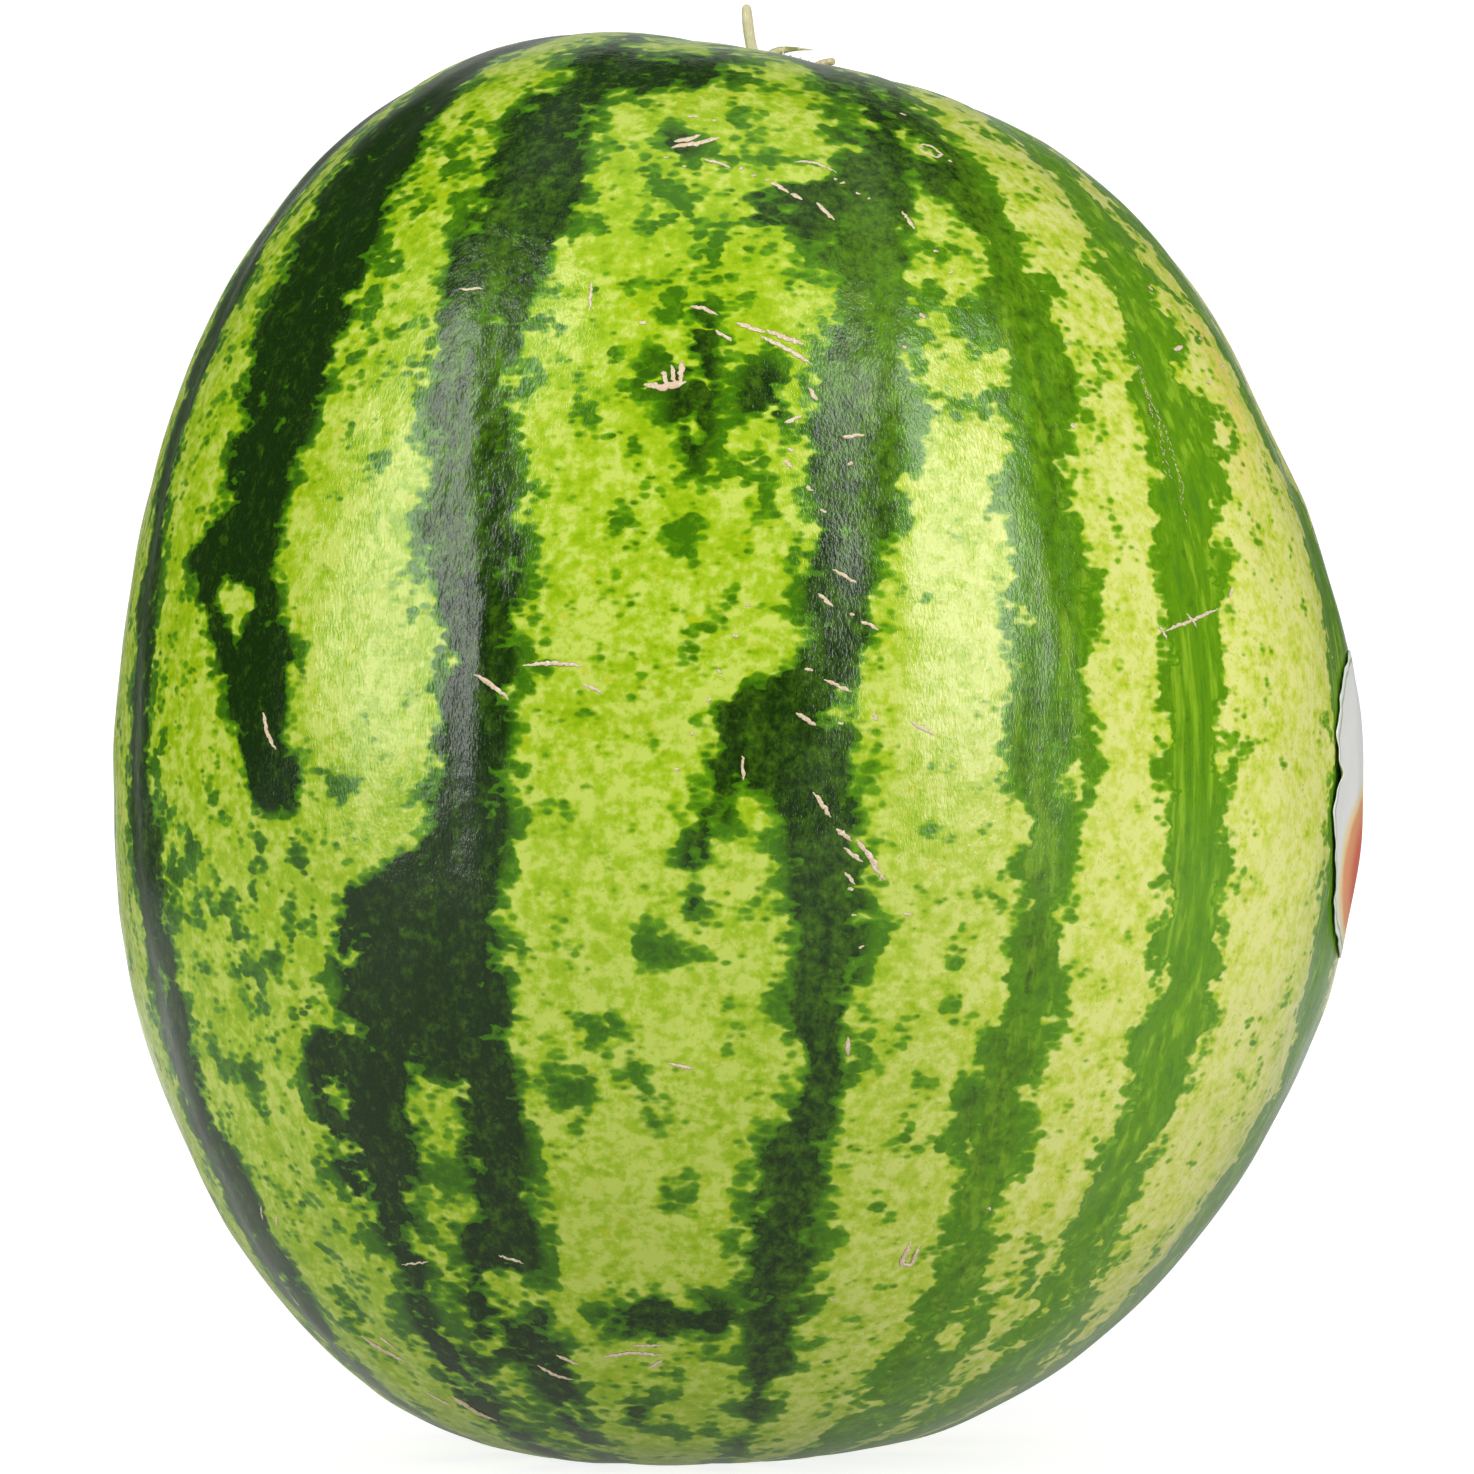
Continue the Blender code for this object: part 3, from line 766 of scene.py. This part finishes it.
def scar_rings(shift, route, width, draw):
    """Corky strip along a route of (azimuth, polar), tapered and ragged, its edges sunk in the rind."""
    azimuth, polar = np.array(route, float).reshape(-1, 2).T
    scale = per_degree(polar.mean())
    x, y = azimuth * scale, polar * MM_PER_POLAR
    walked = np.concatenate(((0.0,), np.cumsum(np.hypot(np.diff(x), np.diff(y)))))
    whole = walked[-1]
    count = int(np.clip(whole / SCAR_STEP, 7, 40))
    at = np.linspace(0, whole, count)
    jitter = draw.normal(size=(2, count)) * SCAR_JITTER
    x, y = np.interp(at, walked, x) + jitter[0], np.interp(at, walked, y) + jitter[1]
    side = np.array((-np.gradient(y), np.gradient(x)))
    side /= np.hypot(*side)
    to_end = np.minimum(at, whole - at) / whole
    taper = np.clip(to_end * np.clip(9 / whole, 5, 8), 0.16, 1) ** 0.7
    half = SCAR_BREADTH * width / 2 * taper * draw.uniform(0.72, 1.25, count)
    across, raised = np.array(SCAR_SECTION).T
    swell = draw.uniform(0.75, 1.2, count) * taper
    off = half[:, None] * across * (1 + 0.1 * draw.normal(size=(count, len(across))))
    azimuth = (x[:, None] + side[0][:, None] * off) / scale
    polar = (y[:, None] + side[1][:, None] * off) / MM_PER_POLAR
    height = np.where(raised > 0, raised * swell[:, None] * min(1.0, width / 0.9), raised) / 1000
    return capped(finished_skin(direction(polar, azimuth), height) + shift)


def fine_cracks(draw):
    """Hair-thin pale cracks that run down one of the eastern stripes."""
    cracks = []
    for strand in range(6):
        azimuth, polar = -51.6 + 0.35 * strand, 54.5 + 1.3 * strand
        end_polar = polar + draw.uniform(5, 9)
        while polar < end_polar:
            end = azimuth + draw.uniform(-0.3, 0.42), polar + draw.uniform(0.2, 0.45)
            cracks.append((CRACK_WIDTH, azimuth, polar, *end))
            azimuth = end[0] + draw.uniform(-0.15, 0.12)
            polar = end[1] + draw.uniform(0.0, 0.6)
    return cracks


def back_scars(draw):
    """Scratches scattered in loose groups over the far side, no two alike."""
    scars = []
    for _ in range(BACK_SCAR_GROUPS):
        azimuth, polar = draw.uniform(8, 172), draw.uniform(30, 150)
        slope = draw.uniform(-0.7, 0.7)
        for _ in range(draw.integers(1, 6)):
            reach = 0.5 + 4.0 * draw.uniform(0, 1) ** 3
            rise = reach * (slope + draw.uniform(-0.5, 0.5, 2))
            middle = azimuth + reach / 2, polar + rise[0] / 2
            end = azimuth + reach, polar + rise[1]
            scars.append((draw.uniform(3, 8), azimuth, polar, *middle, *end))
            azimuth, polar = end[0] + draw.uniform(0.3, 6.0), end[1] + draw.uniform(-2.5, 2.5)
    return scars


def blossom_button(shift, draw):
    """The small corky disc in the hollow at the blossom end, from its sunk edge to its tip."""
    turn = full_turn(BUTTON_SIDES)
    ragged = 1 + 0.05 * np.sin(5 * turn) + 0.03 * np.sin(11 * turn + 1)
    ragged += draw.uniform(-0.02, 0.02, BUTTON_SIDES)
    radius, height = np.array(BUTTON_PROFILE).T[..., None]
    flat = direction(180 - radius * ragged / MM_PER_POLAR, np.degrees(turn))
    return capped(finished_skin(flat, height / 1000) + shift)


def scar_material():
    g = Graph("corky_scars")
    crack = g.noise(g.place, 0.0005, 3.0, 0.7)
    core = g.mix(g.ramp(crack, 0.35, 0.65), (208, 186, 148), (240, 226, 198))
    core = g.mix(g.ramp(g.noise(g.place, 0.003, 2.0), 0.5, 0.75), core, (222, 192, 162))
    # Dark brown on the low rims: partly the scar's own brown edge, partly painted shade at its foot and in
    # the disc's dip.
    g.surface("Base Color", g.mix(g.ramp(g.attribute("edge"), 0.45, 0.95), core, (92, 80, 34)))
    g.surface("Roughness", 0.72)
    g.surface("Normal", g.bump(crack, 0.00015, 0.7))
    return g.material


def scars(shift, material):
    """The healed scratches and the blossom disc in one mesh, each closed and sunk into the rind."""
    draw = np.random.default_rng(11)
    strip_edge = [float(raised < SCAR_CORE_HEIGHT) for _, raised in SCAR_SECTION]
    disc_edge = [float(height < BUTTON_CORE_HEIGHT) for _, height in BUTTON_PROFILE]
    points, faces, edge = [], [], []
    for tenths, *route in (*SCARS, *fine_cracks(draw), *back_scars(draw)):
        width = tenths / 10
        if len(route) == 2:
            route = (*route, route[0] + width * 0.9, route[1] + draw.uniform(-0.3, 0.3))
        first, rings, last = scar_rings(shift, route, width, draw)
        join(points, faces, *closed_rings(first, rings, last))
        edge += [1.0, *strip_edge * len(rings), 1.0]
    join(points, faces, *closed_rings(*blossom_button(shift, draw)))
    edge += [1.0, *np.repeat(disc_edge, BUTTON_SIDES), 0.5]
    piece = mesh_piece("corky_scars", points, faces, material)
    set_attributes(piece, edge=edge)
    return piece


def join(points, faces, more_points, more_faces):
    """Adds one closed surface to the lists of points and faces."""
    faces += [tuple(i + len(points) for i in face) for face in more_faces]
    points += more_points


def bezier(route, count):
    """Points along a cubic curve through four control points."""
    share = np.linspace(0, 1, count)[:, None]
    a, b, c, d = (np.array(point) for point in route)
    rest = 1 - share
    return rest**3 * a + 3 * rest**2 * share * b + 3 * rest * share**2 * c + share**3 * d


def closed_rings(first_pole, rings, last_pole):
    """(points, faces) of a closed surface: an end point, equal rings and the other end point."""
    count = len(rings[0])
    points = [first_pole, *(point for ring in rings for point in ring), last_pole]
    last = len(points) - 1
    base = last - count
    faces = []
    for i in range(count):
        after = (i + 1) % count
        faces.append((0, 1 + after, 1 + i))
        faces.append((last, base + i, base + after))
        for row in range(len(rings) - 1):
            low, high = 1 + row * count, 1 + (row + 1) * count
            faces.append((low + i, low + after, high + after, high + i))
    return points, faces


def stump_rings(seat_floor, seat, up):
    """Corky stump: a ribbed collar, a waist with lengthwise fibres and a torn rim."""
    turn = full_turn(STUMP_SIDES)
    draw = np.random.default_rng(3)
    rib_depth = 0.045 * np.sin(5 * turn) + 0.02 * np.sin(13 * turn + 1.0)
    fibre = 0.016 * np.sin(31 * turn) + 0.012 * np.sin(47 * turn + 2.0)
    teeth = 0.001 * np.sin(7 * turn) + 0.0006 * np.sin(19 * turn + 0.7)
    teeth += draw.uniform(-0.00035, 0.00035, STUMP_SIDES)
    share, height = np.array(STUMP_PROFILE).T[..., None]
    along = np.linspace(0, 1, len(STUMP_PROFILE))[:, None]
    torn = teeth * np.maximum(0.0, along - 0.7) / 0.3
    wrinkle = 0.02 * np.sin(9 * along * pi) * np.sin(3 * turn + 4 * along)
    size = share * (1 + rib_depth + fibre * (0.3 + along) + wrinkle)
    return seat + (seat_floor - seat) * size[..., None] + up * (height + torn)[..., None]


def strand_rings(seat, route, half_width, half_depth, taper, belly, seed):
    """Torn strand of oval fibrous section, with a rounded end."""
    draw = np.random.default_rng(seed)
    points = bezier(route, STRAND_STEPS) + seat
    turn = full_turn(STRAND_SIDES)
    flutes = 1 + 0.05 * np.sin(5 * turn + seed) + 0.03 * np.sin(9 * turn)
    share = np.linspace(0, 1, STRAND_STEPS)[1:-1, None]
    along = unit(points[2:] - points[:-2])[:, None]
    side = unit(np.cross(along, (0, 1, 0)))
    over = np.cross(side, along)
    round_end = (1 - (1 - np.minimum(1.0, (1 - share) * 18)) ** 2) ** 0.5
    size = (1 - taper * share**2 + belly * np.sin(pi * share) ** 2) * round_end * flutes
    size *= 1 + 0.03 * np.sin(17 * share + seed) + draw.uniform(-0.015, 0.015, share.shape)
    width, depth = half_width * size * np.cos(turn), half_depth * size * np.sin(turn)
    rings = points[1:-1, None] + side * width[..., None] + over * depth[..., None]
    return points[0], rings, points[-1]


def stem_material():
    g = Graph("dry_stem")
    green = g.attribute("green")
    fibre = g.noise(g.stretched(g.place, 0.22), 0.00045, 4.0, 0.65)
    blotch = g.noise(g.place, 0.0022, 3.0, 0.6)
    cork = g.mix(g.ramp(fibre, 0.35, 0.68), (190, 168, 118), (236, 226, 188))
    cork = g.mix(g.ramp(blotch, 0.55, 0.75), cork, (164, 138, 92))
    fresh = g.mix(g.ramp(fibre, 0.3, 0.7), (206, 198, 150), (230, 222, 186))
    color = g.mix(g.ramp(green, 0.0, 0.5), cork, fresh)
    edge = g.times(g.ramp(green, 0.5, 1.0), g.ramp(blotch, 0.3, 0.5))
    g.surface("Base Color", g.mix(edge, color, (134, 158, 70)))
    g.surface("Roughness", g.scaled(blotch, 0.25, 0.62))
    g.surface("Normal", g.bump(fibre, 0.00025, 0.8))
    return g.material


def stem(shift, material):
    """The dry stem as one skin: stump and strands fused by a fine voxel remesh."""
    seat = skin_along(pulled(direction(0.0, 0.0))) + shift
    turn = np.degrees(full_turn(STUMP_SIDES))
    floor = skin_along(pulled(direction(np.full(STUMP_SIDES, STUMP_SEAT_POLAR), turn))) + shift
    quarter = STUMP_SIDES // 4
    up = unit(np.cross(floor[0] - floor[2 * quarter], floor[quarter] - floor[3 * quarter]))
    raised_seat = seat + up * SEAT_GAP
    rings = stump_rings(floor + up * SEAT_GAP, raised_seat, up)
    hollow = raised_seat + up * (STUMP_PROFILE[-1][1] - STUMP_HOLLOW)
    points, faces = closed_rings(raised_seat, rings, hollow)
    for seed, (route, *form) in enumerate(STRANDS.values()):
        join(points, faces, *closed_rings(*strand_rings(seat, route, *form, seed)))
    piece = mesh_piece("dry_stem", points, faces, material)
    fuse(piece)
    set_attributes(piece, green=stem_green(np.array([vertex.co for vertex in piece.data.vertices]) - seat))
    return piece


def stem_green(places):
    """Up to 0.5 on the fresher upper strands, and to 1 along the sliver's green top edge."""
    across, _, height = places.T
    fresh = np.clip((height - 0.006) / 0.003, 0, 0.5) * (across < 0.006)
    top_edge = np.clip((height - 0.01) / 0.0008, 0, 1) * (np.abs(across + 0.001) < 0.003)
    return fresh + 0.5 * top_edge


def fuse(piece):
    """Makes one closed skin of overlapping surfaces."""
    remesh = piece.modifiers.new("fuse", "REMESH")
    remesh.mode = "VOXEL"
    remesh.voxel_size = STEM_VOXEL
    remesh.use_smooth_shade = True
    made = bpy.data.meshes.new_from_object(piece.evaluated_get(bpy.context.evaluated_depsgraph_get()))
    piece.modifiers.clear()
    piece.data = made
    made.name = piece.name


def label_points(share, turn, offset):
    """Points of the label at a share of its radius and turns round it, this far off the rind."""
    wave = np.sin(2 * turn + 0.6) + 0.5 * np.sin(7 * turn)
    reach = LABEL_RADIUS * share + LABEL_RIM_WAVE * share**2 * wave
    near = np.clip(-np.cos(turn) * 3, 0, 1)
    ruffle = 0.25 * np.sin(23 * turn) + 0.15 * np.sin(41 * turn + 1)
    at, shift, lift = np.array(LABEL_RIM, float).T
    up = np.sin(turn) * LABEL_RADIUS * 1000
    shift = (np.interp(up, at, shift) + ruffle) * near * share**4 / 1000
    lift = (np.interp(up, at, lift) + 0.2 * ruffle) * near / 1000
    azimuth = LABEL_AZIMUTH + (reach * np.cos(turn) + shift) / GIRTH_RADIUS
    round_way = np.cos(azimuth), np.sin(azimuth)
    height = LABEL_HEIGHT + reach * np.sin(turn)
    way = unit(np.stack((*round_way, height / GIRTH_RADIUS), axis=-1))
    outward = unit(np.stack((*round_way, height / HALF_LENGTH), axis=-1))
    lifted = max(0.0, (share - LABEL_LIFT_START) / (1 - LABEL_LIFT_START)) ** 2
    crease = LABEL_CREASE * np.sin(9 * turn + 14 * share) * share
    return skin_along(way, relief(unpulled(way))) + outward * (offset + lift * lifted + crease)[..., None]


def label_material():
    """Paper with a soft red-orange round field low on it, a cream halo and a thin green border."""
    g = Graph("label_paper")
    fibre = g.noise(g.place, 0.0006, 4.0, 0.7)
    across, up = g.attribute("field_across"), g.attribute("field_up")
    far = g.math("SQRT", g.scaled(across, across, g.times(up, up)))
    far = g.math("ADD", far, g.scaled(g.noise(g.place, 0.006, 2.0), 0.1, -0.05))
    color = g.mix(fibre, (236, 237, 234), (247, 247, 243))
    color = g.mix(g.ramp(far, 1.28, 1.05), color, (246, 224, 168))
    color = g.mix(g.ramp(far, 1.08, 0.93), color, (240, 164, 116))
    color = g.mix(g.ramp(far, 0.9, 0.35), color, (226, 104, 72))
    reach = g.attribute("label_reach")
    ring = g.times(g.ramp(reach, 0.915, 0.925), g.ramp(reach, 0.955, 0.945, 0.8))
    g.surface("Base Color", g.mix(ring, color, (150, 182, 112)))
    g.surface("Roughness", g.scaled(fibre, 0.2, 0.38))
    g.surface("Normal", g.bump(g.noise(g.place, 0.004, 4.0, 0.6), 0.0003, 0.4))
    return g.material


def label(shift, material):
    """The paper label, bent to the flank, its torn rim lifting on the camera's side."""
    turn = full_turn(LABEL_SEGMENTS)
    shares = np.arange(1, LABEL_RINGS + 1) / LABEL_RINGS
    outer, inner = LABEL_GAP + LABEL_PAPER, LABEL_GAP
    rings = [label_points(share, turn, outer) + shift for share in shares]
    rings += [label_points(share, turn, inner) + shift for share in shares[::-1]]
    front, back = (label_points(0.0, np.zeros(1), off)[0] + shift for off in (outer, inner))
    piece = mesh_piece("round_label", *closed_rings(front, rings, back), material)
    reach = np.pad(np.concatenate((shares, shares[::-1])).repeat(LABEL_SEGMENTS), 1)
    turns = np.pad(np.tile(turn, 2 * LABEL_RINGS), 1)
    across = (LABEL_RADIUS * reach * np.cos(turns) - FIELD_ACROSS) / FIELD_HALF_WIDTH
    up = (LABEL_RADIUS * reach * np.sin(turns) - FIELD_UP) / FIELD_HALF_HEIGHT
    set_attributes(piece, label_reach=reach, field_across=across, field_up=up)
    return piece


def fruit_shift():
    """Moves the rind's own middle to its place in the frame."""
    low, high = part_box("fruit_body")
    polar, azimuth = np.meshgrid(np.arange(0.0, 181), np.arange(-180.0, 180))
    points = skin_along(pulled(direction(polar, azimuth)), -furrow_depth(polar, azimuth)).reshape(-1, 3)
    middle = (points.min(axis=0) + points.max(axis=0)) / 2
    return np.array(((low.x + high.x) / 2 - middle[0], (low.y + high.y) / 2 - middle[1],
                     high.z - points[:, 2].max()))


def camera(low, high):
    data = bpy.data.cameras.new("camera")
    data.lens = CAMERA_LENS
    seen_from = put_in("camera", data)
    seen_from.location = (CAMERA_X, CAMERA_Y, CAMERA_HEIGHT * (high.z - low.z))
    seen_from.rotation_euler = (pi / 2, 0, 0)
    bpy.context.scene.camera = seen_from


def soft_box(name, azimuth, elevation, distance, width, height, radiance):
    """Light aimed at the fruit. The fill gives no reflections, which would veil the rind."""
    data = bpy.data.lights.new(name, "AREA")
    data.shape = "RECTANGLE"
    data.size = width
    data.size_y = height
    data.energy = radiance * pi * width * height
    lamp = put_in(name, data)
    way = Vector(direction(90 - elevation, azimuth - 90))
    lamp.location = AIMED_AT + way * distance
    lamp.rotation_euler = way.to_track_quat("Z", "Y").to_euler()
    lamp.visible_glossy = name != "fill_back"
    lamp.visible_camera = False


def studio():
    world = bpy.data.worlds.new("studio")
    bpy.context.scene.world = world
    world.use_nodes = True
    nodes, links = world.node_tree.nodes, world.node_tree.links
    background = nodes["Background"]
    strength = nodes.new("ShaderNodeMapRange")
    strength.inputs["To Min"].default_value = ROOM_LIGHT
    strength.inputs["To Max"].default_value = ROOM_SEEN
    links.new(nodes.new("ShaderNodeLightPath").outputs["Is Camera Ray"], strength.inputs["Value"])
    links.new(strength.outputs["Result"], background.inputs["Strength"])
    background.inputs["Color"].default_value = (1.0, 1.0, 1.0, 1.0)
    for name, box in SOFT_BOXES.items():
        soft_box(name, *box)
    bpy.context.scene.view_settings.view_transform = "Standard"


def sweep_material():
    """Matt grey that lights the fruit from below and behind, and looks white to the camera."""
    g = Graph("studio_sweep")
    x, y, z = g.add("SeparateXYZ", {0: g.place}).outputs
    central = g.ramp(g.math("ABSOLUTE", x), 0.55, 0.3)
    lower = g.scaled(g.ramp(z, 0.62, 0.42), 0.6, 0.4)
    behind = g.times(g.times(g.ramp(y, 0.3, 1.2), central), lower)
    glow = g.scaled(behind, BACKDROP_GLOW, g.ramp(y, 1.3, 0.6, FLOOR_GLOW))
    framed = g.times(central, g.ramp(y, 0.0, 0.5))
    seen = g.add("LightPath").outputs["Is Camera Ray"]
    shown = g.times(seen, g.math("MAXIMUM", framed, FLOOR_SEEN))
    g.surface("Base Color", g.mix(g.noise(g.place, 0.4, 2.0), (146, 146, 145), (152, 152, 152)))
    g.surface("Roughness", 0.9)
    g.surface("Specular IOR Level", 0.1)
    g.surface("Emission Color", (1.0, 1.0, 1.0, 1.0))
    g.surface("Emission Strength", g.math("MAXIMUM", glow, shown))
    return g.material


def sweep():
    """Floor that curves up into a backdrop behind the fruit."""
    turn = np.linspace(0, pi / 2, SWEEP_STEPS + 1)
    bend = zip(SWEEP_BACK + SWEEP_BEND * np.sin(turn), SWEEP_BEND * (1 - np.cos(turn)))
    profile = [(SWEEP_FRONT, 0.0), *bend, (SWEEP_BACK + SWEEP_BEND, SWEEP_TOP)]
    points = [(side * SWEEP_HALF_WIDTH, y, z) for y, z in profile for side in (-1, 1)]
    faces = [(2 * i, 2 * i + 1, 2 * i + 3, 2 * i + 2) for i in range(len(profile) - 1)]
    floor = mesh_piece("sweep", points, faces, sweep_material())


def main():
    shift = fruit_shift()
    camera(cad_low, cad_high)
    studio()
    sweep()
    body = rind(shift, rind_material())
    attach(body, "root")
    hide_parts("fruit_body")
    dry_stem = stem(shift, stem_material())
    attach(dry_stem, "root")
    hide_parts("stem")
    scratches = scars(shift, scar_material())
    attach(scratches, "root")
    paper = label(shift, label_material())
    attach(paper, "root")
    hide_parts("paper_label")


main()
